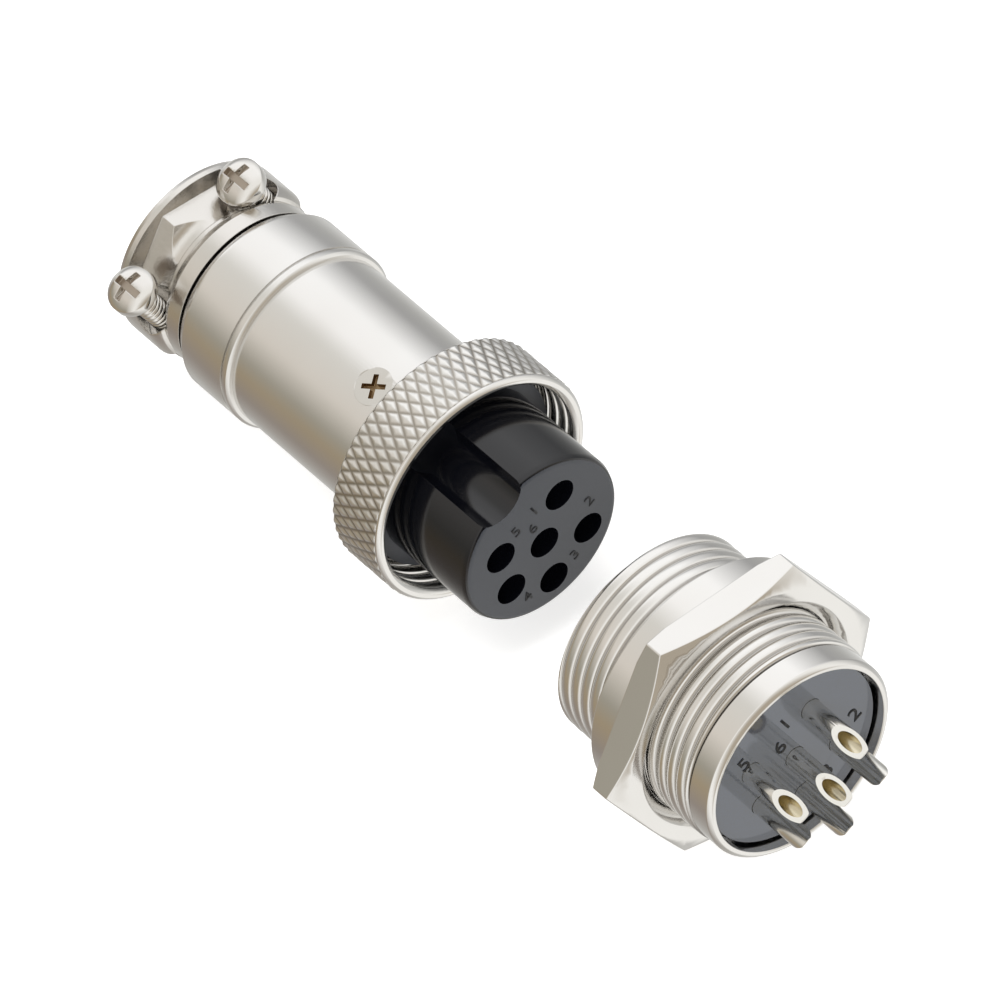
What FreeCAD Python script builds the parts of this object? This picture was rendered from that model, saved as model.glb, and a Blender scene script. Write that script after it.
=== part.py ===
import FreeCAD, Part
import os
import re
import Sketcher
from FreeCAD import Placement, Rotation, Vector

# Circular multi-pin connector: cable plug with coupling nut, and panel socket with hexagon nut.
# The common axis is X, from the cable end of the plug to the solder end of the socket.
# The origin is on that axis, on the panel side of the socket's flange. +Z is up.

doc = FreeCAD.newDocument("connector")
sheet = doc.addObject("Spreadsheet::Sheet", "dims")

# The driving sizes, in millimetres, and rolls in degrees.
DRIVING = {
    # which way the key, the clamp screws and the small screw face, from +Z towards -Y
    "key_roll": 26.5,
    "screw_roll": 22.1,
    # lengths along the axis
    "pulled_apart": 11.45,
    "barrel_length": 8.75,
    "shell_length": 21.4,
    "collar_length": 5.65,
    "stem_length": 8.95,
    "lip_thick": 1.05,
    "ring_length": 5.1,
    "tail_length": 6.3,
    "tail_gap": 0.35,
    "spigot_length": 4.4,
    "front_thread": 5.2,
    "rear_thread": 5.8,
    "rim_length": 2.25,
    "flange_thick": 2.4,
    "nut_thick": 2.5,
    "disc_recess": 0.85,
    "disc_step": 0.2,
    "pin_reach": 4.25,
    # radii that set the rest
    "thread_radius": 8.0,
    "contact_radius": 1.2,
    # walls, steps and edges
    "socket_wall": 1.25,
    "shell_wall": 0.95,
    "collar_step": 0.45,
    "shoulder_thick": 0.8,
    "insert_step": 0.75,
    "ring_wall": 0.9,
    "flange_step": 1.5,
    "nut_wall": 1.79,
    "nut_chamfer": 0.85,
    "nut_sink": 0.85,
    "rim_wall": 0.62,
    "rim_edge": 0.3,
    "rear_bevel": 0.55,
    "rear_bevel_length": 0.9,
    "face_edge": 0.5,
    "groove_depth": 0.6,
    "groove_width": 0.5,
    "edge_break": 0.4,
    # clearances
    "turning_play": 0.1,
    "mating_play": 0.15,
    "nut_play": 0.06,
    "key_play": 0.25,
    "thread_play": 0.05,
    # key and contacts
    "key_curve": 2.2,
    "key_lift": 0.68,
    "pattern_margin": 1.88,
    "pattern_drop": 0.45,
    "contact_wall": 0.35,
    "contact_recess": 2.2,
    "contact_depth": 7.7,
    "cup_step": 0.42,
    "cup_wall": 0.27,
    "cup_length": 4.2,
    "cup_opening": 2.3,
    "cup_slope": 32.0,
    # retaining screw
    "small_set_back": 3.65,
    "small_head": 1.45,
    "small_cone": 0.6,
    "small_shank": 0.85,
    "small_length": 3.0,
    # cable clamp and its screws
    "tail_rim": 1.55,
    "tail_round": 0.55,
    "tail_flange_thick": 1.8,
    "tail_cut": 1.35,
    "fixed_edge": -0.2,
    "saddle_gap": 1.0,
    "clamp_set_back": 1.3,
    "clamp_edge": 1.85,
    "clamp_head": 1.68,
    "clamp_head_thick": 1.3,
    "clamp_dome": 2.6,
    "clamp_shank": 0.95,
    "clamp_play": 0.15,
    "cable_wall": 0.75,
    "clamp_proud_1": 0.4,
    "clamp_proud_2": 2.1,
    "pocket_radius": 2.0,
    "pocket_sink": 3.35,
}

# The other radii (from the common axis) and stations (x positions) follow from the driving sizes.
RELATED = {
    # radii
    "socket_bore": "thread_radius - socket_wall",
    "insert_radius": "socket_bore - mating_play",
    "barrel_radius": "insert_radius + turning_play",
    "shell_bore": "barrel_radius - shell_wall",
    "collar_radius": "barrel_radius + collar_step",
    "lip_bore": "barrel_radius + turning_play",
    "key_centre": "insert_radius + key_lift",
    "ring_bore": "thread_radius + mating_play",
    "ring_radius": "ring_bore + ring_wall",
    "shoulder_radius": "ring_bore - mating_play * 3",
    "insert_flange": "shoulder_radius - turning_play",
    "groove_radius": "thread_radius - groove_depth",
    "rim_radius": "thread_radius - mating_play",
    "seat_radius": "rim_radius - rim_wall",
    "nut_bore": "thread_radius + nut_play",
    "nut_face": "nut_bore + nut_wall",
    "nut_flats": "nut_face * 2 + turning_play * 2",
    "flange_radius": "thread_radius + flange_step",
    "pattern_radius": "shell_bore - pattern_margin",
    "contact_bore": "contact_radius - contact_wall",
    "pin_radius": "contact_bore - turning_play",
    "cup_radius": "contact_radius - cup_step",
    "cup_bore": "cup_radius - cup_wall",
    "small_height": "barrel_radius - small_head * small_head / barrel_radius / 4",
    "tail_radius": "collar_radius - turning_play",
    "tail_flange": "tail_radius - tail_round",
    "tail_neck": "tail_radius - tail_round * 2.5",
    "tail_hexagon": "tail_radius - tail_cut",
    "tail_waist": "clamp_reach * 2 - pocket_radius * 1.3",
    "clamp_reach": "tail_radius - clamp_edge",
    "cable_radius": "clamp_reach - clamp_shank - cable_wall",
    "pocket_floor": "tail_radius - pocket_sink",
    "clamp_height_1": "pocket_floor + clamp_proud_1",
    "clamp_height_2": "pocket_floor + clamp_proud_2",
    "clamp_tip": "0 - clamp_reach * 0.6",
    "saddle_edge": "fixed_edge - saddle_gap",
    # stations
    "flange_front": "0 - flange_thick",
    "socket_front": "flange_front - front_thread",
    "insert_face": "socket_front - pulled_apart",
    "insert_seat": "insert_face - barrel_length",
    "shell_front": "insert_seat - insert_step",
    "shoulder_rear": "shell_front - shoulder_thick",
    "insert_rear": "shell_front - stem_length",
    "shell_rear": "shell_front - shell_length",
    "collar_front": "shell_rear + collar_length",
    "lip_front": "shoulder_rear - turning_play",
    "ring_rear": "lip_front - lip_thick",
    "ring_front": "ring_rear + ring_length",
    "contact_end": "insert_rear - pin_reach * 0.7",
    "small_station": "shoulder_rear - small_set_back - turning_play",
    "tail_front": "shell_rear - tail_gap",
    "tail_split": "tail_front - tail_flange_thick",
    "tail_rear": "tail_front - tail_length",
    "spigot_front": "tail_front + spigot_length",
    "clamp_station": "tail_split - clamp_set_back",
    "rim_end": "rear_thread + rim_length",
    "seat_station": "socket_front + barrel_length + insert_step - mating_play",
    "disc_face": "rim_end - disc_recess",
    "pin_tip": "socket_front + contact_radius + insert_step + turning_play",
    "pin_end": "rim_end + pin_reach",
}

# Angles of the five outer contacts, from the key round towards -Y, numbered as on the mouldings.
CONTACT_ANGLES = {1: -52.6, 2: -136.8, 3: 159.2, 4: 99.2, 5: 43.9}
CONTACTS = (1, 2, 3, 4, 5, 6)
# These solder cups open towards the key, the others open away from it.
CUPS_TO_KEY = (1, 5, 6)

for row, (alias, value) in enumerate(DRIVING.items(), start=1):
    sheet.set(f"A{row}", str(value))
    sheet.setAlias(f"A{row}", alias)
for number, angle in CONTACT_ANGLES.items():
    row = len(DRIVING) + number
    sheet.set(f"A{row}", str(angle))
    sheet.setAlias(f"A{row}", f"angle_{number}")
doc.recompute()

ALONG_X = Rotation(Vector(0, 1, 0), 90)
NODES = []


def bound(expression):
    """Writes an expression out in the sheet's own cells, as setExpression needs it."""

    def spelled_out(word):
        name = word.group(0)
        return f"({bound(RELATED[name])})" if name in RELATED else f"dims.{name}"

    return re.sub(r"[a-z]+(_[a-z0-9]+)+", spelled_out, expression)


def value_of(expression):
    return float(sheet.evalExpression(bound(expression)))


def bind(thing, **sizes):
    for name, expression in sizes.items():
        thing.setExpression(name, bound(expression))
    return thing


def place(thing, rotation=None, x="0", y="0", z="0"):
    """Places a primitive; its three coordinates stay bound to the sheet."""
    thing.Placement = Placement(Vector(0, 0, 0), rotation or Rotation())
    thing.setExpression(".Placement.Base.x", bound(x))
    thing.setExpression(".Placement.Base.y", bound(y))
    thing.setExpression(".Placement.Base.z", bound(z))
    return thing


def roll(thing, angle="key_roll"):
    """Turns a finished sub-part about the common axis."""
    thing.Placement = Placement(Vector(0, 0, 0), Rotation(Vector(1, 0, 0), value_of(angle)))
    thing.setExpression(".Placement.Rotation.Angle", bound(angle))
    return thing


def turned(label, outline):
    """A body turned about X from a closed outline of (station, radius) expressions."""
    body = doc.addObject("PartDesign::Body", label)
    body.Label = label
    sketch = body.newObject("Sketcher::SketchObject", f"{label}_outline")
    plane = next(item for item in body.Origin.OriginFeatures if item.Role == "XZ_Plane")
    sketch.AttachmentSupport = [(plane, "")]
    sketch.MapMode = "FlatFace"
    points = [Vector(value_of(x), value_of(r), 0) for x, r in outline]
    count = len(points)
    for index in range(count):
        sketch.addGeometry(Part.LineSegment(points[index], points[(index + 1) % count]), False)
    for index, (x, r) in enumerate(outline):
        following = Sketcher.Constraint("Coincident", index, 2, (index + 1) % count, 1)
        sketch.addConstraint(following)
        hold(sketch, "DistanceX", -2, index, x, points[index].x)
        hold(sketch, "DistanceY", -1, index, r, points[index].y)
    revolution = body.newObject("PartDesign::Revolution", f"{label}_turning")
    revolution.Profile = sketch
    revolution.ReferenceAxis = (sketch, ["H_Axis"])
    revolution.Angle = 360
    sketch.Visibility = False
    return body


def hold(sketch, kind, axis, index, expression, value):
    """Fixes one coordinate of an outline's corner to the sheet, or to an axis where it is zero."""
    if abs(value) < 1e-9:
        sketch.addConstraint(Sketcher.Constraint("PointOnObject", index, 1, axis))
        return
    number = sketch.addConstraint(Sketcher.Constraint(kind, -1, 1, index, 1, value))
    sketch.setExpression(f"Constraints[{number}]", bound(expression))


def cylinder(label, radius, start, end, y="0", z="0"):
    """A round bar along X between two stations."""
    bar = bind(doc.addObject("Part::Cylinder", label), Radius=radius, Height=f"({end}) - ({start})")
    return place(bar, ALONG_X, start, y, z)


def upright(label, radius, bottom, top, x="0", y="0"):
    """A round bar along Z between two heights."""
    bar = bind(doc.addObject("Part::Cylinder", label), Radius=radius, Height=f"({top}) - ({bottom})")
    return place(bar, None, x, y, bottom)


def block(label, start, end, wide, bottom, top):
    """A box between two stations and two heights, centred across Y."""
    solid = doc.addObject("Part::Box", label)
    bind(solid, Length=f"({end}) - ({start})", Width=wide, Height=f"({top}) - ({bottom})")
    return place(solid, None, start, f"0 - ({wide}) / 2", bottom)


def fused(label, *pieces):
    result = doc.addObject("Part::MultiFuse", label)
    result.Shapes = list(pieces)
    result.Label = label
    return result


def fused_single(label, piece):
    """Carries one finished solid, so that it can be turned as a whole about the common axis."""
    carrier = doc.addObject("Part::Compound", label)
    carrier.Links = [piece]
    carrier.Label = label
    return carrier


def cut(label, base, tool):
    result = doc.addObject("Part::Cut", label)
    result.Base = base
    result.Tool = tool
    result.Label = label
    return result


def common(label, base, tool):
    result = doc.addObject("Part::Common", label)
    result.Base = base
    result.Tool = tool
    result.Label = label
    return result


def node(thing):
    NODES.append(thing)
    return thing


def cross(label, length, width, depth, top):
    """The cross recess of a screw head, cut down from the height of its top."""
    arms = []
    for turn in (0, 90):
        arm = doc.addObject("Part::Box", f"{label}_arm_{turn}")
        bind(arm, Length=length, Width=width, Height=depth)
        centre = Vector(-value_of(length) / 2, -value_of(width) / 2, 0)
        spin = Rotation(Vector(0, 0, 1), turn)
        arm.Placement = Placement(spin.multVec(centre), spin)
        arm.setExpression(".Placement.Base.z", bound(f"{top} - {depth}"))
        arms.append(arm)
    return fused(f"{label}_cross", *arms)


def contact_place(thing, number, turn="0"):
    """Puts a contact or pin at its hole: five on a circle round the sixth."""
    reach = "0" if number == 6 else "pattern_radius"
    angle = "0" if number == 6 else f"angle_{number}"
    thing.Placement = Placement(Vector(0, 0, 0), Rotation(Vector(1, 0, 0), value_of(f"key_roll + {turn}")))
    around = f"{angle} + key_roll"
    across = f"pattern_drop * sin(key_roll) - {reach} * sin({around})"
    height = f"{reach} * cos({around}) - pattern_drop * cos(key_roll)"
    thing.setExpression(".Placement.Base.y", bound(across))
    thing.setExpression(".Placement.Base.z", bound(height))
    thing.setExpression(".Placement.Rotation.Angle", bound(f"key_roll + {turn}"))
    return thing


def contact_holes(label, radius, start, end):
    """Six bars along X, at the contacts' places in a moulding whose key is at +Z."""
    bars = []
    for number in CONTACTS:
        reach = "0" if number == 6 else "pattern_radius"
        angle = "0" if number == 6 else f"angle_{number}"
        y = f"0 - {reach} * sin({angle})"
        z = f"{reach} * cos({angle}) - pattern_drop"
        bars.append(cylinder(f"{label}_{number}", radius, start, end, y, z))
    return fused(f"{label}s", *bars)


def solder_cup(label, solid, end, outward):
    """Bores the end of a contact and cuts it slantwise, so that the cup is open on its +Z side."""
    sign = "+" if outward > 0 else "-"
    inside = "-" if outward > 0 else "+"
    mouth = f"{end} {sign} 1"
    deep = f"{end} {inside} cup_length"
    low, high = (deep, mouth) if outward > 0 else (mouth, deep)
    bore = cylinder(f"{label}_bore", "cup_bore", low, high)
    slant = doc.addObject("Part::Box", f"{label}_slant")
    bind(slant, Length="cup_length * 2", Width="cup_radius * 3", Height="cup_radius * 4")
    lean = value_of("cup_slope") * outward
    slant.Placement.Rotation = Rotation(Vector(0, 1, 0), lean)
    reach = "cup_opening" if outward > 0 else "0 - cup_opening"
    back = "0" if outward > 0 else "0 - cup_length * 2 * cos(cup_slope)"
    rise = "0" if outward > 0 else "0 - cup_length * 2 * sin(cup_slope)"
    slant.setExpression(".Placement.Base.x", bound(f"{end} - {reach} + {back}"))
    slant.setExpression(".Placement.Base.y", bound("0 - cup_radius * 1.5"))
    slant.setExpression(".Placement.Base.z", bound(f"cup_radius + {rise}"))
    return cut(label, solid, fused(f"{label}_cup", bore, slant))


def make_shell():
    """Plug shell: rear collar with a bead line, main cylinder, front shoulder, countersunk hole."""
    blank = turned("shell_blank", [
        ("shell_rear", "shell_bore"),
        ("shell_rear", "collar_radius - rear_bevel"),
        ("shell_rear + rear_bevel_length", "collar_radius"),
        ("collar_front - edge_break * 1.5", "collar_radius"),
        ("collar_front - edge_break * 1.5", "collar_radius - edge_break / 2"),
        ("collar_front - edge_break", "collar_radius - edge_break / 2"),
        ("collar_front - edge_break", "collar_radius"),
        ("collar_front", "collar_radius"),
        ("collar_front + edge_break", "barrel_radius"),
        ("shoulder_rear", "barrel_radius"),
        ("shoulder_rear", "shoulder_radius"),
        ("shell_front", "shoulder_radius"),
        ("shell_front", "shell_bore"),
    ])
    seat = doc.addObject("Part::Cone", "shell_countersink")
    bind(seat, Radius1="small_shank", Radius2="small_head", Height="small_cone")
    place(seat, None, "small_station", "0", "small_height - small_cone")
    over = upright("shell_seat_clear", "small_head", "small_height", "small_height + 1", "small_station")
    bore = upright("shell_screw_hole", "small_shank", "0", "small_height", "small_station")
    tool = roll(fused("shell_seat", seat, over, bore), "screw_roll")
    return node(cut("shell", blank, tool))


def make_retaining_screw():
    """Small countersunk screw that holds the insert in the shell."""
    head = doc.addObject("Part::Cone", "small_screw_head")
    bind(head, Radius1="small_shank", Radius2="small_head", Height="small_cone")
    place(head, None, "0", "0", "0 - small_cone")
    shank = upright("small_screw_shank", "small_shank", "0 - small_length", "0 - small_cone")
    recess = cross("small_screw", "small_head * 1.25", "small_head * 0.26", "small_cone * 0.75", "0")
    screw = cut("retaining_screw_solid", fused("small_screw_blank", head, shank), recess)
    placed = place(screw, None, "small_station", "0", "small_height")
    return node(roll(fused_single("retaining_screw", placed), "screw_roll"))


def make_coupling_nut():
    """Coupling ring, with the lip that pulls on the shell's shoulder and a plain bore for the thread."""
    return node(turned("coupling_nut", [
        ("ring_rear", "lip_bore"),
        ("ring_rear", "ring_radius - edge_break"),
        ("ring_rear + edge_break", "ring_radius"),
        ("ring_front - edge_break * 0.75", "ring_radius"),
        ("ring_front", "ring_radius - edge_break * 0.75"),
        ("ring_front", "ring_bore + edge_break / 4"),
        ("ring_front - edge_break / 4", "ring_bore"),
        ("lip_front", "ring_bore"),
        ("lip_front", "lip_bore"),
    ]))


def make_plug_insert():
    """Moulded insert: stem in the shell, flange on its shoulder, keyed barrel with six holes."""
    blank = turned("insert_blank", [
        ("insert_rear", "0"),
        ("insert_rear", "shell_bore"),
        ("shell_front", "shell_bore"),
        ("shell_front", "insert_flange"),
        ("insert_seat", "insert_flange"),
        ("insert_seat", "insert_radius"),
        ("insert_face - face_edge", "insert_radius"),
        ("insert_face - face_edge * 0.3", "insert_radius - face_edge * 0.3"),
        ("insert_face", "insert_radius - face_edge"),
        ("insert_face", "0"),
    ])
    keyway = cylinder("insert_keyway", "key_curve", "insert_seat", "insert_face + 1",
                      "0", "key_centre")
    holes = contact_holes("insert_hole", "contact_radius", "insert_rear - 1", "insert_face + 1")
    bored = cut("insert_bored", blank, roll(fused("insert_cuts", keyway, holes)))
    hole = upright("insert_screw_hole", "small_shank", "small_height - small_length", "small_height",
                   "small_station")
    tool = roll(fused_single("insert_screw_cut", hole), "screw_roll")
    return node(cut("plug_insert", bored, tool))


def make_socket_contact(number):
    """Female contact: split sleeve that takes the pin, and a solder cup behind."""
    label = f"socket_contact_{number}"
    front = "insert_face - contact_recess"
    sleeve = turned(f"{label}_blank", [
        ("contact_end", "0"),
        ("contact_end", "cup_radius"),
        ("insert_rear", "cup_radius"),
        ("insert_rear", "contact_radius"),
        (front, "contact_radius"),
        (front, "contact_bore"),
        (f"{front} - contact_depth", "contact_bore"),
        (f"{front} - contact_depth", "0"),
    ])
    slit = block(f"{label}_slit", f"{front} - contact_depth / 2", f"{front} + 1", "contact_bore / 3",
                 "0 - contact_radius * 2", "contact_radius * 2")
    split = cut(f"{label}_split", sleeve, slit)
    cup = solder_cup(f"{label}_solid", split, "contact_end", -1)
    turn = "0" if number in CUPS_TO_KEY else "180"
    return node(contact_place(fused_single(label, cup), number, turn))


def make_pin(number):
    """Socket pin: round nose, thicker stem in the insulator, slanted solder cup at the rear."""
    label = f"pin_{number}"
    blank = turned(f"{label}_blank", [
        ("pin_tip", "0"),
        ("pin_tip", "pin_radius / 2"),
        ("pin_tip + edge_break", "pin_radius"),
        ("seat_station", "pin_radius"),
        ("seat_station", "cup_radius"),
        ("pin_end", "cup_radius"),
        ("pin_end", "0"),
    ])
    cup = solder_cup(f"{label}_solid", blank, "pin_end", 1)
    turn = "0" if number in CUPS_TO_KEY else "180"
    return node(contact_place(fused_single(label, cup), number, turn))


def clamp_blank(label, front):
    """The round outline that both clamp halves share: rounded rim, then narrower towards the shell."""
    return turned(label, [
        ("tail_rear", "0"),
        ("tail_rear", "tail_radius - tail_round"),
        ("tail_rear + tail_round * 0.3", "tail_radius - tail_round * 0.3"),
        ("tail_rear + tail_round", "tail_radius"),
        ("tail_rear + tail_rim", "tail_radius"),
        ("clamp_station", "tail_flange"),
        (front, "tail_neck"),
        (front, "0"),
    ])


def make_tail_body():
    """Fixed half of the cable clamp: rear rim, six-sided waist, flange and the spigot in the shell."""
    disc = clamp_blank("tail_disc", "tail_split")
    lower = block("tail_lower", "tail_rear - 1", "tail_split", "tail_radius * 3", "0 - tail_radius * 2",
                  "fixed_edge")
    half = cut("tail_half", disc, lower)
    window = block("tail_window", "tail_rear + tail_rim", "tail_split", "tail_waist", "0",
                   "tail_radius * 2")
    waist = doc.addObject("Part::Prism", "tail_hexagon_bar")
    bind(waist, Circumradius="tail_hexagon", Height="tail_split - tail_rear")
    place(waist, ALONG_X, "tail_rear")
    flare = doc.addObject("Part::Cone", "tail_flare")
    bind(flare, Radius1="tail_hexagon * 0.8", Radius2="tail_flange",
         Height="tail_split - tail_rear - tail_rim * 2")
    place(flare, ALONG_X, "tail_rear + tail_rim * 2")
    core = fused("tail_core", waist, flare)
    waisted = cut("tail_waisted", half, cut("tail_opening", window, core))
    front = turned("tail_front_part", [
        ("tail_split", "cable_radius"),
        ("tail_split", "tail_neck"),
        ("tail_front - tail_round", "tail_flange"),
        ("tail_front", "tail_flange"),
        ("tail_front", "shell_bore"),
        ("spigot_front", "shell_bore"),
        ("spigot_front", "cable_radius"),
    ])
    bore = cylinder("tail_cable_bore", "cable_radius", "tail_rear - 1", "spigot_front + 1")
    cuts = [bore]
    for side, sign in ((1, "0 +"), (2, "0 -")):
        y = f"{sign} clamp_reach"
        cuts.append(upright(f"tail_pocket_{side}", "pocket_radius", "pocket_floor", "tail_radius * 2",
                            "clamp_station", y))
        cuts.append(upright(f"tail_hole_{side}", "clamp_shank + clamp_play", "0 - tail_radius",
                            "tail_radius", "clamp_station", y))
    solid = cut("tail_body_solid", fused("tail_joined", waisted, front), fused("tail_cuts", *cuts))
    return node(roll(fused_single("tail_body", solid)))


def make_clamp_saddle():
    """Loose half of the cable clamp, tapped for the two screws."""
    disc = clamp_blank("saddle_disc", "tail_split - clamp_play")
    upper = block("saddle_upper", "tail_rear - 1", "tail_split + 1", "tail_radius * 3", "saddle_edge",
                  "tail_radius * 2")
    bore = cylinder("saddle_bore", "cable_radius", "tail_rear - 1", "tail_split + 1")
    cuts = [upper, bore]
    for side, sign in ((1, "0 +"), (2, "0 -")):
        cuts.append(upright(f"saddle_hole_{side}", "clamp_shank + thread_play", "0 - tail_radius",
                            "tail_radius", "clamp_station", f"{sign} clamp_reach"))
    solid = cut("clamp_saddle_solid", disc, fused("saddle_cuts", *cuts))
    return node(roll(fused_single("clamp_saddle", solid)))


def make_clamp_screw(number, sign):
    """Pan-head clamp screw with a cross recess; number 2 stands further out than number 1."""
    label = f"clamp_screw_{number}"
    drum = upright(f"{label}_drum", "clamp_head", "0", "clamp_head_thick")
    dome = bind(doc.addObject("Part::Sphere", f"{label}_dome"), Radius="clamp_dome")
    place(dome, None, "0", "0", "clamp_head_thick - clamp_dome")
    head = common(f"{label}_head", drum, dome)
    height = f"clamp_height_{number}"
    shank = upright(f"{label}_shank", "clamp_shank", f"clamp_tip - {height}", "0")
    recess = cross(label, "clamp_head * 1.3", "clamp_head * 0.3", "clamp_head_thick * 0.55",
                   "clamp_head_thick")
    screw = cut(f"{label}_solid", fused(f"{label}_blank", head, shank), recess)
    place(screw, None, "clamp_station", f"{sign} clamp_reach", height)
    return node(roll(fused_single(label, screw)))


def make_socket_shell():
    """Socket shell: front thread, round flange, rear thread, plain rim, and the key in its bore."""
    blank = turned("socket_blank", [
        ("socket_front", "socket_bore"),
        ("socket_front", "thread_radius - edge_break"),
        ("socket_front + edge_break", "thread_radius"),
        ("flange_front - groove_width", "thread_radius"),
        ("flange_front - groove_width", "groove_radius"),
        ("flange_front", "groove_radius"),
        ("flange_front", "flange_radius - edge_break / 2"),
        ("flange_front + edge_break / 2", "flange_radius"),
        ("0", "flange_radius"),
        ("0", "thread_radius"),
        ("rear_thread", "thread_radius"),
        ("rear_thread", "rim_radius"),
        ("rim_end - rim_edge", "rim_radius"),
        ("rim_end", "rim_radius - rim_edge"),
        ("rim_end", "seat_radius"),
        ("seat_station", "seat_radius"),
        ("seat_station", "socket_bore"),
    ])
    rib = cylinder("socket_key", "key_curve - key_play", "socket_front + 1", "seat_station",
                   "0", "key_centre")
    limit = cylinder("socket_key_limit", "socket_bore + rim_wall", "socket_front", "seat_station")
    key = common("socket_key_trimmed", rib, limit)
    return node(fused("socket_shell", blank, roll(fused_single("socket_key_rib", key))))


def make_socket_insulator():
    """Moulding that carries the pins, seated in the shell from behind, with a stepped edge."""
    disc = turned("insulator_blank", [
        ("seat_station", "0"),
        ("seat_station", "seat_radius"),
        ("disc_face - disc_recess", "seat_radius"),
        ("disc_face - disc_recess", "seat_radius - disc_step"),
        ("disc_face", "seat_radius - disc_step"),
        ("disc_face", "0"),
    ])
    holes = contact_holes("insulator_hole", "cup_radius", "seat_station - 1", "rim_end")
    return node(roll(cut("socket_insulator", disc, holes)))


def make_panel_nut():
    """Hexagon nut on the rear thread, chamfered on both faces, with one flat facing down."""
    hexagon = doc.addObject("Part::Prism", "nut_hexagon")
    bind(hexagon, Circumradius="nut_flats / 2 / cos(30)", Height="nut_thick")
    place(hexagon, ALONG_X.multiply(Rotation(Vector(0, 0, 1), 30)))
    blank = turned("nut_blank", [
        ("0", "nut_bore"),
        ("0", "nut_face + nut_chamfer"),
        ("nut_chamfer / 3", "nut_face + nut_chamfer * 2"),
        ("nut_chamfer / 3", "nut_flats"),
        ("nut_thick - nut_chamfer", "nut_flats"),
        ("nut_thick - nut_chamfer", "nut_face + nut_chamfer * 2"),
        ("nut_thick", "nut_face"),
        ("nut_thick", "nut_bore + nut_sink"),
        ("nut_thick - nut_sink", "nut_bore"),
    ])
    return node(common("panel_nut", hexagon, blank))


def check_and_write():
    """Stops if any object failed, then writes each node's shape to its own file."""
    doc.recompute()
    bad = [item.Label for item in doc.Objects if {"Invalid", "Error"} & set(item.State)]
    if bad:
        raise RuntimeError(f"failed objects: {bad}")
    os.makedirs("parts", exist_ok=True)
    for item in NODES:
        shape = item.Shape
        if shape.isNull() or not shape.isValid() or len(shape.Solids) != 1:
            raise RuntimeError(f"{item.Label} has no single valid solid")
        shape.exportStep(f"parts/{item.Label}.step")
        box = shape.BoundBox
        print(f"{item.Label:18s} {shape.Volume:9.2f} mm3  x {box.XMin:7.2f} {box.XMax:7.2f}")


make_shell()
make_coupling_nut()
make_plug_insert()
make_retaining_screw()
for contact_number in CONTACTS:
    make_socket_contact(contact_number)
make_tail_body()
make_clamp_saddle()
make_clamp_screw(1, "0 +")
make_clamp_screw(2, "0 -")
make_socket_shell()
make_socket_insulator()
for contact_number in CONTACTS:
    make_pin(contact_number)
make_panel_nut()
check_and_write()
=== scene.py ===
import bmesh
import bpy
from math import atan2, cos, floor, hypot, pi, radians, sin, sqrt
from mathutils import Matrix, Vector


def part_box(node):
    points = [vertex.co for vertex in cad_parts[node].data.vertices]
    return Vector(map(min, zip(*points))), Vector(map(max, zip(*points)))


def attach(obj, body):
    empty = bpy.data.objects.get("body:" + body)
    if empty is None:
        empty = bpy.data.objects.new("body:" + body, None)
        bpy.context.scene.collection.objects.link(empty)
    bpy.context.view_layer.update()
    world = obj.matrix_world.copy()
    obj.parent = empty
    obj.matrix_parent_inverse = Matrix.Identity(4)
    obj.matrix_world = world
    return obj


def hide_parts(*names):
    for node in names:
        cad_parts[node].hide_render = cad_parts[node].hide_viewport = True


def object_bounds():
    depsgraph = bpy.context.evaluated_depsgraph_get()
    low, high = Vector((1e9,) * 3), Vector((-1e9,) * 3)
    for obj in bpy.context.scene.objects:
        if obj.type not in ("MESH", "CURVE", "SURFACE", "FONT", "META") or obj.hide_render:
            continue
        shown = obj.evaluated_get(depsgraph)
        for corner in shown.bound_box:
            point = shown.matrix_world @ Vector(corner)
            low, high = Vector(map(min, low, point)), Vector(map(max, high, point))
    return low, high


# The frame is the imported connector, in metres: X runs from the cable end of the plug to the solder
# cups of the socket, and the origin is on that axis at the panel side of the socket's flange.
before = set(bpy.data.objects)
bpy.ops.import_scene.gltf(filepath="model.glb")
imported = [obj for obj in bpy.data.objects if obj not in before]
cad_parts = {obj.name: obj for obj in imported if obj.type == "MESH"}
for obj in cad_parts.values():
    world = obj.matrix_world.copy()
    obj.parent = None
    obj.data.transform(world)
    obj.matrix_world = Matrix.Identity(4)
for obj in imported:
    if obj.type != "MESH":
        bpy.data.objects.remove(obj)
cad_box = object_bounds()
MM = 0.001

# Plug shell
# The tube that carries the whole plug: turned from brass bar, with a wider collar at the cable end
# and a fine bead line where the collar steps down. It is barrel-plated in nickel and left satin, so
# it shows broad soft reflections with faint turning marks round it.
SHELL_LOW, SHELL_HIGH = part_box("shell")
SHELL_REAR = SHELL_LOW.x
SHELL_FRONT = SHELL_HIGH.x
SHELL_BARREL = 6.7 * MM
SHELL_COLLAR = 7.15 * MM
SHELL_BORE = 5.75 * MM
SHOULDER = SHELL_HIGH.y
SHOULDER_THICK = 0.8 * MM
COLLAR_FRONT = SHELL_REAR + 5.65 * MM
REAR_BEVEL = 0.55 * MM
REAR_BEVEL_LENGTH = 0.9 * MM
EDGE = 0.4 * MM
SEAT_PLAY = 0.1 * MM
SEAT_FOOT = 0.55
SEAT_DEPTH = 1.2 * MM
SEAT_LIFT = 6.3 * MM
KEY_ROLL = radians(26.5)
SCREW_ROLL = radians(22.1)
WELD = 0.002 * MM
SHARP = radians(32)
CLOUD_SIZE = 6 * MM
SMEAR_SIZE = 2.5 * MM
GLOSS_DRIFT = 0.08


def linear(hex_colour):
    """An sRGB hex colour as the linear colour that shaders take."""
    channels = [int(hex_colour[i:i + 2], 16) / 255 for i in (0, 2, 4)]
    return [c / 12.92 if c <= 0.04045 else ((c + 0.055) / 1.055) ** 2.4 for c in channels] + [1.0]


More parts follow.
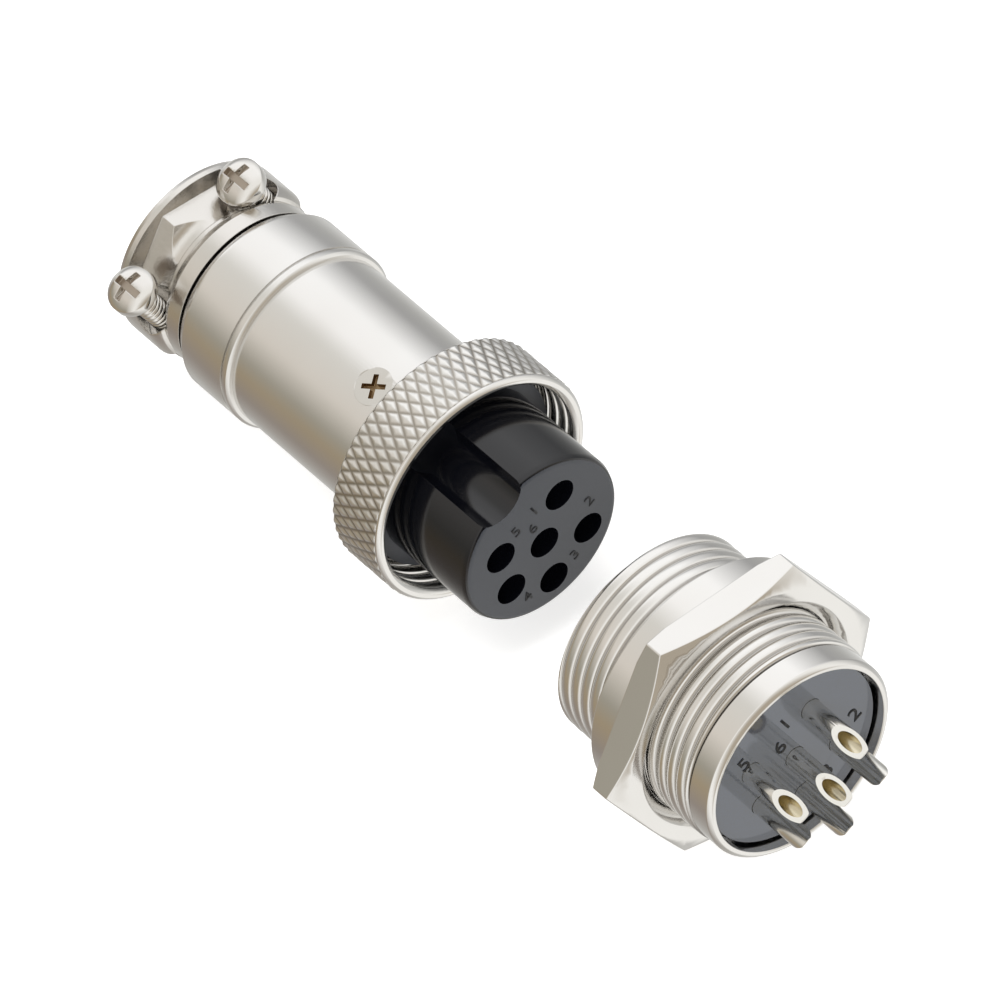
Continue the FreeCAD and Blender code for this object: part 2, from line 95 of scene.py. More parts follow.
def add_node(tree, kind, settings=None, **links):
    """Adds a node; each link sets the input of that name, or of that number after an underscore.

    It takes a value or another node's output."""
    node = tree.nodes.new(kind)
    for name, value in (settings or {}).items():
        setattr(node, name, value)
    for name, value in links.items():
        key = int(name[1:]) if name[0] == "_" else name.replace("_", " ")
        socket = node.inputs[key]
        if isinstance(value, bpy.types.NodeSocket):
            tree.links.new(value, socket)
        else:
            socket.default_value = value
    return node


def new_material(name, **shader):
    """A material with one Principled shader, and its tree, shader and Object coordinates."""
    material = bpy.data.materials.new(name)
    material.use_nodes = True
    tree = material.node_tree
    principled = tree.nodes["Principled BSDF"]
    for socket, value in shader.items():
        principled.inputs[socket.replace("_", " ")].default_value = value
    place = add_node(tree, "ShaderNodeTexCoord").outputs["Object"]
    return material, tree, principled, place


def turning_marks(tree, place, spacing):
    """A height that changes along the axis only, as a lathe tool leaves it."""
    stretched = add_node(tree, "ShaderNodeMapping", Vector=place, Scale=(1 / spacing, 0.0, 0.0))
    marks = add_node(tree, "ShaderNodeTexNoise", {"noise_dimensions": "3D"},
                     Vector=stretched.outputs["Vector"], Scale=1.0, Detail=3.0, Roughness=0.7)
    return marks.outputs["Fac"]


def darkened(tree, tone, distance, dark, start, end):
    """Painted shade: a tone that goes over to a darker one as a distance falls from end to start."""
    share = add_node(tree, "ShaderNodeMapRange", Value=distance, From_Min=start, From_Max=end)
    mixed = add_node(tree, "ShaderNodeMix", {"data_type": "RGBA"}, _0=share.outputs["Result"],
                     _6=linear(dark), _7=tone)
    return mixed.outputs[2]


def plated(name, tint, dull, roughness, turned_spacing, turned_depth, grain, grain_depth, low=None,
           rounded=None):
    """Nickel plate: its tint drifts a little, and marks and fine grain break up the reflections.

    With low given, as a colour and two radii, it is painted darker near the axis: painted shade
    in thread roots and knurl grooves.
    With rounded given, edges that the mesh keeps sharp catch light as if rounded to that radius."""
    material, tree, shader, place = new_material(name, Metallic=1.0)
    cloud = add_node(tree, "ShaderNodeTexNoise", Vector=place, Scale=1 / CLOUD_SIZE, Detail=2.0)
    tone = add_node(tree, "ShaderNodeMix", {"data_type": "RGBA"}, _0=cloud.outputs["Fac"],
                    _6=linear(dull), _7=linear(tint))
    colour = tone.outputs[2]
    # Painted shade: the colour is darker towards the axis.
    if low:
        across = add_node(tree, "ShaderNodeMapping", Vector=place, Scale=(0.0, 1.0, 1.0))
        reach = add_node(tree, "ShaderNodeVectorMath", {"operation": "LENGTH"},
                         _0=across.outputs["Vector"])
        colour = darkened(tree, colour, reach.outputs["Value"], *low)
    tree.links.new(colour, shader.inputs["Base Color"])
    smear = add_node(tree, "ShaderNodeTexNoise", Vector=place, Scale=1 / SMEAR_SIZE, Detail=2.0)
    gloss = add_node(tree, "ShaderNodeMapRange", Value=smear.outputs["Fac"], From_Min=0.3,
                     From_Max=0.7, To_Min=roughness * (1 - GLOSS_DRIFT),
                     To_Max=roughness * (1 + GLOSS_DRIFT))
    tree.links.new(gloss.outputs["Result"], shader.inputs["Roughness"])
    marks = turning_marks(tree, place, turned_spacing)
    lines = add_node(tree, "ShaderNodeBump", Height=marks, Strength=1.0, Distance=turned_depth)
    if rounded:
        edges = add_node(tree, "ShaderNodeBevel", {"samples": 6}, Radius=rounded)
        tree.links.new(edges.outputs["Normal"], lines.inputs["Normal"])
    pits = add_node(tree, "ShaderNodeTexNoise", Vector=place, Scale=1 / grain, Detail=3.0)
    bump = add_node(tree, "ShaderNodeBump", Height=pits.outputs["Fac"], Strength=1.0,
                    Distance=grain_depth, Normal=lines.outputs["Normal"])
    tree.links.new(bump.outputs["Normal"], shader.inputs["Normal"])
    return material


def as_piece(name, bm, material):
    """Turns a finished bmesh into a piece with smooth shading."""
    for face in bm.faces:
        face.smooth = True
    mesh = bpy.data.meshes.new(name)
    bm.to_mesh(mesh)
    bm.free()
    piece = bpy.data.objects.new(name, mesh)
    bpy.context.scene.collection.objects.link(piece)
    mesh.materials.append(material)
    return piece


def piece_from(name, bm, material):
    """Welds a bmesh, turns its faces outwards and makes it a piece."""
    bmesh.ops.remove_doubles(bm, verts=bm.verts, dist=WELD)
    bmesh.ops.recalc_face_normals(bm, faces=bm.faces)
    return as_piece(name, bm, material)


def soften(piece, width, segments=2):
    """Breaks the sharp edges as tumbling and plating do, and keeps the flats flat."""
    bevel = piece.modifiers.new("broken edges", "BEVEL")
    bevel.width = width
    bevel.segments = segments
    bevel.limit_method = "ANGLE"
    bevel.angle_limit = SHARP
    piece.modifiers.new("flat faces", "WEIGHTED_NORMAL").keep_sharp = True
    return piece


def spun(outline, steps=160):
    """A ring turned about X from a closed outline of (station, radius) points."""
    bm = bmesh.new()
    points = [bm.verts.new((x, 0, r)) for x, r in outline]
    edges = [bm.edges.new((points[i - 1], points[i])) for i in range(len(points))]
    bmesh.ops.spin(bm, geom=points + edges, axis=(1, 0, 0), cent=(0, 0, 0), angle=2 * pi,
                   steps=steps, use_merge=True)
    return bm


def finished_mesh(piece):
    """A new mesh of a piece as its modifiers, or its curve, leave it."""
    bpy.context.view_layer.update()
    evaluated = piece.evaluated_get(bpy.context.evaluated_depsgraph_get())
    return bpy.data.meshes.new_from_object(evaluated)


def carve(piece, cutter, operation="DIFFERENCE"):
    """Cuts one closed piece out of another for good, or joins it on, and removes it."""
    cut = piece.modifiers.new("cut", "BOOLEAN")
    cut.operation = operation
    cut.solver = "EXACT"
    cut.object = cutter
    shaped = finished_mesh(piece)
    piece.modifiers.remove(cut)
    piece.data = shaped
    bpy.data.objects.remove(cutter)


def rolled(angle):
    """The turn about the common axis that takes +Z towards -Y."""
    return Matrix.Rotation(angle, 4, "X")


satin_nickel = plated("satin nickel plate, turned", "E7E6E4", "E1DFDC", 0.2,
                      turned_spacing=0.06 * MM, turned_depth=0.0004 * MM,
                      grain=0.08 * MM, grain_depth=0.0004 * MM)

shell_outline = [
    (SHELL_REAR, SHELL_BORE),
    (SHELL_REAR, SHELL_COLLAR - REAR_BEVEL),
    (SHELL_REAR + REAR_BEVEL_LENGTH, SHELL_COLLAR),
    (COLLAR_FRONT - EDGE * 1.5, SHELL_COLLAR),
    (COLLAR_FRONT - EDGE * 1.5, SHELL_COLLAR - EDGE / 2),
    (COLLAR_FRONT - EDGE, SHELL_COLLAR - EDGE / 2),
    (COLLAR_FRONT - EDGE, SHELL_COLLAR),
    (COLLAR_FRONT, SHELL_COLLAR),
    (COLLAR_FRONT + EDGE / 2, SHELL_COLLAR - EDGE / 2),
    (COLLAR_FRONT + EDGE / 2, SHELL_BARREL),
    (SHELL_FRONT - SHOULDER_THICK, SHELL_BARREL),
    (SHELL_FRONT - SHOULDER_THICK, SHOULDER),
    (SHELL_FRONT, SHOULDER),
    (SHELL_FRONT, SHELL_BORE),
]
shell = piece_from("plug_shell_turned", spun(shell_outline), satin_nickel)
SMALL_LOW, SMALL_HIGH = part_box("retaining_screw")
SMALL_STATION = (SMALL_LOW.x + SMALL_HIGH.x) / 2
SMALL_HEAD = (SMALL_HIGH.x - SMALL_LOW.x) / 2
seat = bmesh.new()
bmesh.ops.create_cone(seat, cap_ends=True, segments=64, radius1=SMALL_HEAD * SEAT_FOOT,
                      radius2=SMALL_HEAD + SEAT_PLAY, depth=SEAT_DEPTH,
                      matrix=rolled(SCREW_ROLL) @ Matrix.Translation((SMALL_STATION, 0, SEAT_LIFT)))
carve(shell, piece_from("screw_seat", seat, satin_nickel))
soften(shell, width=0.05 * MM)
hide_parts("shell")
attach(shell, "plug")

# Coupling nut
# The ring that pulls plug and socket together: turned brass with rolled diamond knurling outside
# and a thread cut inside. Bright nickel leaves the tops of the diamonds glossy and the front rim
# flat and clean; the grooves between the diamonds are painted darker, as painted shade.
RING_LOW, RING_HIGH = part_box("coupling_nut")
RING_REAR = RING_LOW.x
RING_FRONT = RING_HIGH.x
RING_RADIUS = RING_HIGH.z
RING_BORE = 8.15 * MM
RING_LIP = 6.8 * MM
RING_CHAMFER = 0.3 * MM
RING_CHAMFER_LENGTH = RING_CHAMFER * 0.8
RING_THREAD_DEPTH = 0.42 * MM
RING_THREAD_SHARE = 0.96
RING_THREAD_REAR = 0.2 * MM
LIP_FRONT = RING_REAR + 1.05 * MM
MOUTH_CHAMFER = EDGE * 0.8
KNURL_COUNT = 58
KNURL_LONG = 1.7 * MM
KNURL_DEPTH = 0.12 * MM
KNURL_TOP = 0.72
KNURL_STEPS = 12
KNURL_STEPS_ALONG = 1.5
KNURL_LEVEL = RING_RADIUS - KNURL_DEPTH * 0.4
KNURL_REAR = RING_REAR + 0.3 * MM
KNURL_FRONT = RING_FRONT - 0.4 * MM
THREAD_PITCH = 1.0 * MM
THREAD_DEPTH = 0.38 * MM
THREAD_FULLNESS = 0.45
ON_PLANE = 0.005 * MM
BRIGHT_SKIN = {"turned_spacing": 0.09 * MM, "turned_depth": 0.0005 * MM,
               "grain": 0.15 * MM, "grain_depth": 0.0006 * MM}

bright_nickel = plated("bright nickel plate", "E9E8E6", "E2E0DD", 0.13, **BRIGHT_SKIN)
# The knurl's grooves are painted darker towards the axis, as painted shade.
knurl_nickel = plated("bright nickel plate, knurled, painted groove shade", "ECEBE9", "E4E3E0", 0.3,
                      low=("9A9389", RING_RADIUS - KNURL_DEPTH, KNURL_LEVEL), **BRIGHT_SKIN)


def ridge(place):
    """The height between two grooves: nothing in the groove, rising straight to a flattened top."""
    across = 1 - abs(2 * (place - floor(place)) - 1)
    return min(across / KNURL_TOP, 1)


def knurled_band(start, end, radius, inner):
    """Rolled diamonds: two families of grooves that cross, one running up and one running down."""
    stations = round((end - start) / KNURL_LONG * KNURL_STEPS * KNURL_STEPS_ALONG)
    outline = [(start, inner)]
    outline += [(start + (end - start) * i / stations, radius) for i in range(stations + 1)]
    outline += [(end, inner)]
    bm = spun(outline, KNURL_COUNT * KNURL_STEPS)
    for vert in bm.verts:
        reach = hypot(vert.co.y, vert.co.z)
        if reach < radius - KNURL_DEPTH:
            continue
        turn = atan2(vert.co.y, vert.co.z) / (2 * pi) * KNURL_COUNT
        run = (vert.co.x - start) / KNURL_LONG
        raised = min(ridge(turn + run), ridge(turn - run))
        scale = 1 - KNURL_DEPTH * (1 - raised) / reach
        vert.co.y *= scale
        vert.co.z *= scale
    return bm


def trim_ends(bm, start, end, inner):
    """Cuts a band square at both ends and closes each end with a flat ring down to a radius."""
    for station, side in ((start, -1), (end, 1)):
        bmesh.ops.bisect_plane(bm, geom=list(bm.verts) + list(bm.edges) + list(bm.faces),
                               plane_co=(station, 0, 0), plane_no=(side, 0, 0), clear_outer=True)
        rim = [edge for edge in bm.edges if edge.is_boundary and
               all(abs(vert.co.x - station) < ON_PLANE for vert in edge.verts)]
        wall = bmesh.ops.extrude_edge_only(bm, edges=rim)["geom"]
        for vert in (item for item in wall if isinstance(item, bmesh.types.BMVert)):
            reach = inner / hypot(vert.co.y, vert.co.z)
            vert.co.y *= reach
            vert.co.z *= reach


def threaded_band(start, end, crest, root, pitch, inner, steps=96):
    """A screw thread: rounded crests and narrow roots, swept round the axis and along it."""
    bm = bmesh.new()
    samples = 14
    profile = [(k / samples, root + (crest - root) * sin(pi * k / samples) ** THREAD_FULLNESS)
               for k in range(samples + 1)]
    first = start - pitch
    points = [bm.verts.new((first + x * pitch, 0, r)) for x, r in profile]
    edges = [bm.edges.new(pair) for pair in zip(points, points[1:])]
    turns = int((end - start) / pitch) + 2
    bmesh.ops.spin(bm, geom=points + edges, axis=(1, 0, 0), cent=(0, 0, 0), angle=2 * pi * turns,
                   dvec=(pitch / steps, 0, 0), steps=steps * turns)
    bmesh.ops.remove_doubles(bm, verts=bm.verts, dist=0.002 * pitch)
    trim_ends(bm, start, end, inner)
    return bm


ring_low = RING_RADIUS - RING_CHAMFER
ring_wall = RING_BORE + RING_THREAD_DEPTH
ring_outline = [
    (RING_REAR, RING_LIP),
    (RING_REAR, RING_RADIUS - EDGE),
    (KNURL_REAR, KNURL_LEVEL),
    (KNURL_REAR, ring_low),
    (KNURL_FRONT, ring_low),
    (KNURL_FRONT, RING_RADIUS - KNURL_DEPTH / 2),
    (RING_FRONT - RING_CHAMFER_LENGTH, KNURL_LEVEL),
    (RING_FRONT, ring_low),
    (RING_FRONT, RING_BORE + MOUTH_CHAMFER),
    (RING_FRONT - MOUTH_CHAMFER, RING_BORE),
    (RING_FRONT - EDGE, RING_BORE),
    (RING_FRONT - EDGE, ring_wall),
    (LIP_FRONT, ring_wall),
    (LIP_FRONT, RING_LIP),
]
ring = piece_from("coupling_ring_turned", spun(ring_outline), bright_nickel)
soften(ring, width=0.05 * MM)
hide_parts("coupling_nut")
diamonds = knurled_band(KNURL_REAR, KNURL_FRONT, RING_RADIUS, inner=ring_low - EDGE / 4)
knurl = piece_from("coupling_ring_knurl", diamonds, knurl_nickel)
ring_turns = threaded_band(LIP_FRONT + RING_THREAD_REAR, RING_FRONT - EDGE, crest=RING_BORE,
                           root=RING_BORE + RING_THREAD_DEPTH * RING_THREAD_SHARE,
                           pitch=THREAD_PITCH, inner=ring_wall)
ring_thread = piece_from("coupling_ring_thread", ring_turns, bright_nickel)
for part in (ring, knurl, ring_thread):
    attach(part, "coupling_nut")

# Plug insert
# The moulded block that holds the six contacts: black thermoset, pressed in a polished tool, so its
# sides are glossy and its sanded face is a dull dark grey. The key groove runs along the barrel.
INSERT_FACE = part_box("plug_insert")[1].x
FLAT_END = 0.97
FLAT_BLEND = 0.05
MOULD_PITS = 0.12 * MM
MOULD_PIT_DEPTH = 0.0015 * MM
COPLANAR = radians(1)
DIGIT_RISE = 0.03 * MM
DIGIT_BOLD = 0.015 * MM
DIGIT_HEIGHT = 1.35 * MM
FACE_DIGITS = {"1": (1.15, 2.95), "2": (4.1, -1.3), "3": (0.7, -4.2),
               "4": (-3.5, -3.2), "5": (-0.7, 2.95), "6": (0.2, 1.65)}


def moulded(name, side_colour, face_colour, side_roughness, face_roughness, ior=1.55):
    """A moulding whose flat ends, which look along the axis, have a tone and gloss of their own."""
    material, tree, shader, place = new_material(name, IOR=ior)
    facing = add_node(tree, "ShaderNodeNewGeometry").outputs["Normal"]
    along = add_node(tree, "ShaderNodeSeparateXYZ", Vector=facing).outputs["X"]
    ends = add_node(tree, "ShaderNodeMapRange", Value=along, From_Min=FLAT_END - FLAT_BLEND,
                    From_Max=FLAT_END).outputs["Result"]
    tone = add_node(tree, "ShaderNodeMix", {"data_type": "RGBA"}, _0=ends,
                    _6=linear(side_colour), _7=linear(face_colour))
    tree.links.new(tone.outputs[2], shader.inputs["Base Color"])
    gloss = add_node(tree, "ShaderNodeMapRange", Value=ends, To_Min=side_roughness,
                     To_Max=face_roughness)
    tree.links.new(gloss.outputs["Result"], shader.inputs["Roughness"])
    pits = add_node(tree, "ShaderNodeTexNoise", Vector=place, Scale=1 / MOULD_PITS, Detail=3.0)
    bump = add_node(tree, "ShaderNodeBump", Height=pits.outputs["Fac"], Strength=1.0,
                    Distance=MOULD_PIT_DEPTH)
    tree.links.new(bump.outputs["Normal"], shader.inputs["Normal"])
    return material


def copy_of(node, name, material):
    """A welded copy of a CAD node's mesh, in place of the node, whose edges can be softened."""
    bm = bmesh.new()
    bm.from_mesh(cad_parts[node].data)
    bmesh.ops.remove_doubles(bm, verts=bm.verts, dist=WELD)
    bmesh.ops.dissolve_limit(bm, angle_limit=COPLANAR, verts=bm.verts, edges=bm.edges)
    piece = as_piece(name, bm, material)
    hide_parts(node)
    return piece


def digits(name, material, station, places, height):
    """The raised contact numbers on a moulded face, read from the open side with the key up."""
    upright = Matrix(((0, 0, 1), (1, 0, 0), (0, 1, 0))).to_4x4()
    bm = bmesh.new()
    for text, (across, up) in places.items():
        curve = bpy.data.curves.new(name, "FONT")
        curve.body = text
        curve.size = height
        curve.extrude = DIGIT_RISE
        curve.offset = DIGIT_BOLD
        curve.align_x = "CENTER"
        curve.align_y = "CENTER"
        letter = bpy.data.objects.new(name, curve)
        bpy.context.scene.collection.objects.link(letter)
        shape = finished_mesh(letter)
        spot = Matrix.Translation((station, across * MM, up * MM))
        shape.transform(rolled(KEY_ROLL) @ spot @ upright)
        bm.from_mesh(shape)
        bpy.data.objects.remove(letter)
        bpy.data.curves.remove(curve)
        bpy.data.meshes.remove(shape)
    return piece_from(name, bm, material)


black_moulding = moulded("black thermoset, polished sides", "0A0B10", "494C52", 0.12, 0.45)
insert = copy_of("plug_insert", "plug_insert_moulding", black_moulding)
soften(insert, width=0.06 * MM)
digit_paint = new_material("moulded digits in shadow", Base_Color=linear("141518"),
                           Roughness=0.5)[0]
face_digits = digits("plug_face_digits", digit_paint, INSERT_FACE, FACE_DIGITS, DIGIT_HEIGHT)
for part in (insert, face_digits):
    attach(part, "plug")

# Contacts
# Six turned brass sleeves pressed into the insert, split so that they grip the pins, with an open
# cup behind for the wire. The plating is thin, and the bore shows the brass. Their very dark
# colour is painted shade of the deep holes they sit in.
contact_metal = plated("brass contact, painted dark as hole shade", "4A4234", "38311F", 0.45,
                       turned_spacing=0.08 * MM, turned_depth=0.001 * MM,
                       grain=0.1 * MM, grain_depth=0.001 * MM)
for number in range(1, 7):
    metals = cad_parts[f"socket_contact_{number}"].data.materials
    metals.clear()
    metals.append(contact_metal)

# Retaining screw
# A small countersunk cross-head screw through the shell into the insert. It is bright nickel on
# steel, and the cross is painted brown inside, as painted shade in the recess.
SMALL_TOP = 6.55 * MM
SMALL_CROSS_DEPTH = 0.6 * MM
SMALL_CROSS_REACH = SMALL_HEAD * 0.64
SMALL_TURN = radians(33)
screw_nickel = plated("nickel plate on steel", "E4E2DF", "DAD7D2", 0.1,
                      turned_spacing=0.2 * MM, turned_depth=0.0004 * MM,
                      grain=0.1 * MM, grain_depth=0.0006 * MM)
recess_brown = new_material("brown shadowed recess", Base_Color=linear("A08A6C"), Metallic=1.0,
                            Roughness=0.4)[0]
small_screw = copy_of("retaining_screw", "retaining_screw_headed", screw_nickel)
small_screw.data.materials.append(recess_brown)
screw_stand = rolled(SCREW_ROLL) @ Matrix.Translation((SMALL_STATION, 0, 0))
screw_turn = Matrix.Rotation(SMALL_TURN, 4, "Z")
small_screw.data.transform(screw_stand @ screw_turn @ screw_stand.inverted())
unrolled = rolled(-SCREW_ROLL)
# Painted shade: faces sunk in the cross get the brown recess colour.
for polygon in small_screw.data.polygons:
    spot = unrolled @ polygon.center
    sunk = SMALL_TOP - SMALL_CROSS_DEPTH < spot.z < SMALL_TOP
    if sunk and hypot(spot.x - SMALL_STATION, spot.y) < SMALL_CROSS_REACH:
        polygon.material_index = 1
soften(small_screw, width=0.03 * MM)
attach(small_screw, "plug")

# Cable clamp
# Two zinc die castings, nickel-plated: the fixed half with its rim, waist and flange, and the loose
# saddle under it. Castings keep a soft skin with small pits, so they shine less evenly than bar.
# The joined forms overlap a little and never share a face, so that they join into one closed piece.
cast_nickel = plated("nickel plate on zinc casting", "E4E2DF", "D8D5D0", 0.2,
                     turned_spacing=0.5 * MM, turned_depth=0.001 * MM,
                     grain=0.45 * MM, grain_depth=0.012 * MM, rounded=0.1 * MM)
TAIL_LOW, TAIL_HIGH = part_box("tail_body")
TAIL_REAR = TAIL_LOW.x
SPIGOT_FRONT = TAIL_HIGH.x
TAIL_FRONT = SPIGOT_FRONT - 4.4 * MM
TAIL_SPLIT = TAIL_FRONT - 1.8 * MM
TAIL_RADIUS = 7.05 * MM
TAIL_FLANGE = 6.5 * MM
TAIL_NECK = 6.2 * MM
TAIL_TAPER = 1.3 * MM
TAPER_STEPS = 6
OVERLAP = 0.15 * MM
TAIL_ROUND = 0.55 * MM
TAIL_RIM = 0.95 * MM
WAIST_REAR_CORNER = 6.6 * MM
WAIST_CORNER = 5.6 * MM
WAIST_SIDE = 5.0 * MM
WAIST_FRONT = TAIL_SPLIT - 1.1 * MM
WAIST_LOW = 5.0 * MM
WAIST_TURN = radians(30)
GROOVE_LENGTH = 1.4 * MM
GROOVE_RISE = 1.1 * MM
FLARE_LENGTH = 1.9 * MM
HOLLOW_TURN = radians(65)
HOLLOW_STEPS = 10
CABLE_BORE = 3.5 * MM
INSIDE = CABLE_BORE * 0.9
FIXED_EDGE = -0.2 * MM
POCKET_RADIUS = 1.5 * MM
POCKET_FLOOR = 0.9 * MM
SCREW_HOLE = 1.1 * MM
CLAMP_STATION = TAIL_SPLIT - 1.3 * MM
CLAMP_REACH = {1: 5.2 * MM, 2: -5.2 * MM}
BEYOND = 20 * MM
CAST_WELD = 0.001 * MM
CAST_SHARP = radians(16)
SPIGOT_START = TAIL_FRONT + 0.02 * MM


def block(low, high):
    """A box between two corners, as a piece to join on or cut with."""
    bm = bmesh.new()
    middle = (Vector(low) + Vector(high)) / 2
    size = Vector(high) - Vector(low)
    bmesh.ops.create_cube(bm, size=1,
                          matrix=Matrix.Translation(middle) @ Matrix.Diagonal(size).to_4x4())
    return piece_from("block", bm, cast_nickel)


def drums(radius, places, low, high, sides=96, turn=Matrix(), top=None):
    """Upright bars at the given (x, y) places, or along X when turned; top makes them taper."""
    bm = bmesh.new()
    for x, y in places:
        bmesh.ops.create_cone(bm, cap_ends=True, segments=sides, radius1=radius,
                              radius2=top or radius, depth=high - low,
                              matrix=turn @ Matrix.Translation((x, y, (low + high) / 2)))
    return piece_from("drum", bm, cast_nickel)


def hollow(length, rise, low):
    """The curve that leaves the waist level at its front end and rises over a length."""
    angles = [HOLLOW_TURN * i / HOLLOW_STEPS for i in range(HOLLOW_STEPS + 1)]
    return [(WAIST_FRONT + length * sin(angle) / sin(HOLLOW_TURN),
             low + rise * (1 - cos(angle)) / (1 - cos(HOLLOW_TURN))) for angle in angles]


def crease(piece, angle):
    """Cleans a carved mesh and keeps each edge over an angle sharp, so that flats stay flat."""
    bm = bmesh.new()
    bm.from_mesh(piece.data)
    bmesh.ops.remove_doubles(bm, verts=bm.verts, dist=CAST_WELD)
    bmesh.ops.dissolve_degenerate(bm, edges=bm.edges, dist=CAST_WELD)
    for edge in bm.edges:
        if len(edge.link_faces) == 2 and edge.calc_face_angle(0) > angle:
            edge.smooth = False
    bm.to_mesh(piece.data)
    bm.free()


lying_bar = Matrix.Rotation(pi / 2, 4, "Y")
screw_places = [(CLAMP_STATION, reach) for reach in CLAMP_REACH.values()]

# The full round from the rim forward, tapered to the flange, with a slot for the waist.
tail = piece_from("cable_clamp_casting", spun([
    (TAIL_REAR, INSIDE),
    (TAIL_REAR, TAIL_RADIUS - TAIL_ROUND),
    (TAIL_REAR + TAIL_ROUND * 0.3, TAIL_RADIUS - TAIL_ROUND * 0.3),
    (TAIL_REAR + TAIL_ROUND, TAIL_RADIUS),
    *[(TAIL_SPLIT + OVERLAP - TAIL_TAPER * (1 - sin(angle)),
       TAIL_RADIUS - (TAIL_RADIUS - TAIL_NECK) * (1 - cos(angle)))
      for angle in [pi / 2 * i / TAPER_STEPS for i in range(TAPER_STEPS + 1)]],
    (TAIL_SPLIT + OVERLAP, INSIDE),
]), cast_nickel)
carve(tail, block((TAIL_REAR + TAIL_RIM, -WAIST_SIDE, 0),
                  (TAIL_SPLIT + TAIL_RIM, WAIST_SIDE, BEYOND)))

# The waist: six-sided and tapered, with one ridge up, and hollowed where it meets the flare.
groove_low = WAIST_LOW - OVERLAP / 4
waist = drums(WAIST_REAR_CORNER, [(0, 0)], TAIL_REAR + TAIL_ROUND, WAIST_FRONT + OVERLAP / 2,
              sides=6, turn=lying_bar @ Matrix.Rotation(WAIST_TURN, 4, "Z"), top=WAIST_CORNER)
carve(waist, piece_from("groove", spun([
    (WAIST_FRONT + OVERLAP, groove_low),
    *hollow(-GROOVE_LENGTH, GROOVE_RISE, groove_low),
    (WAIST_FRONT - GROOVE_LENGTH, TAIL_RADIUS),
    (WAIST_FRONT + OVERLAP, TAIL_RADIUS),
]), cast_nickel))
carve(tail, waist, "UNION")

# The flare that opens from the waist to the flange, and the flange with the spigot in the shell.
carve(tail, piece_from("flare", spun([
    (WAIST_FRONT - OVERLAP, INSIDE - OVERLAP),
    (WAIST_FRONT - OVERLAP, WAIST_LOW),
    *hollow(FLARE_LENGTH, TAIL_FLANGE - OVERLAP - WAIST_LOW, WAIST_LOW),
    (WAIST_FRONT + FLARE_LENGTH, INSIDE - OVERLAP),
]), cast_nickel), "UNION")
carve(tail, piece_from("flange", spun([
    (TAIL_SPLIT - OVERLAP, INSIDE - 2 * OVERLAP),
    (TAIL_SPLIT - OVERLAP, TAIL_NECK - OVERLAP),
    (TAIL_SPLIT + TAIL_ROUND / 2, TAIL_FLANGE - TAIL_ROUND / 4),
    (TAIL_SPLIT + TAIL_ROUND, TAIL_FLANGE),
    (TAIL_FRONT, TAIL_FLANGE),
    (TAIL_FRONT, SHELL_BORE),
    (SPIGOT_FRONT, SHELL_BORE),
    (SPIGOT_FRONT, INSIDE - 2 * OVERLAP),
]), cast_nickel), "UNION")

# The lower half goes to the saddle; then come the screws' pockets and holes and the cable's bore.
carve(tail, block((TAIL_REAR - TAIL_RIM, -BEYOND, -BEYOND), (TAIL_SPLIT, BEYOND, FIXED_EDGE)))
carve(tail, drums(POCKET_RADIUS, screw_places, POCKET_FLOOR, BEYOND))
carve(tail, drums(SCREW_HOLE, screw_places, -BEYOND, BEYOND, sides=48))
carve(tail, drums(CABLE_BORE, [(0, 0)], TAIL_REAR - TAIL_RIM, SPIGOT_FRONT + TAIL_RIM,
                  turn=lying_bar))
tail.data.transform(rolled(KEY_ROLL))
crease(tail, CAST_SHARP)
tail.modifiers.new("flat faces", "WEIGHTED_NORMAL").keep_sharp = True
tail.data.materials.append(new_material("thread in the gap's shadow", Base_Color=linear("1E1B18"),
                                        Metallic=1.0, Roughness=0.6)[0])
for polygon in tail.data.polygons:
    if polygon.center.x > SPIGOT_START:
        polygon.material_index = 1
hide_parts("tail_body")
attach(tail, "plug")

saddle = copy_of("clamp_saddle", "clamp_saddle_casting", cast_nickel)
soften(saddle, width=0.06 * MM)
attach(saddle, "clamp_saddle")

# Clamp screws
# Two pan-head machine screws, nickel-plated steel, that draw the saddle up to the fixed half. Both
# show some thread under the head, and the lower one stands further out.
SCREW_CREST = 0.95 * MM
SCREW_ROOT = 0.7 * MM
SCREW_PITCH = 0.45 * MM
COIL_ROOT = SCREW_ROOT * 1.02
COIL_INSIDE = SCREW_ROOT * 0.9
SHANK_REACH = SCREW_CREST * 1.02
SEAM = 0.01 * MM
HEAD_UNDERSIDE = {1: 4.1 * MM, 2: 5.8 * MM}
HEAD_RAISE = {1: 0.6 * MM, 2: 0.35 * MM}
HEAD_THICKER = 1.2
HEAD_WIDER = 1.04
RECESS_REACH = 1.15 * MM
RECESS_BELOW = 0.3 * MM
SCREW_TIP = -3.0 * MM
recess_grey = new_material("grey shadowed recess", Base_Color=linear("B9AEA2"), Metallic=1.0,
                           Roughness=0.35)[0]
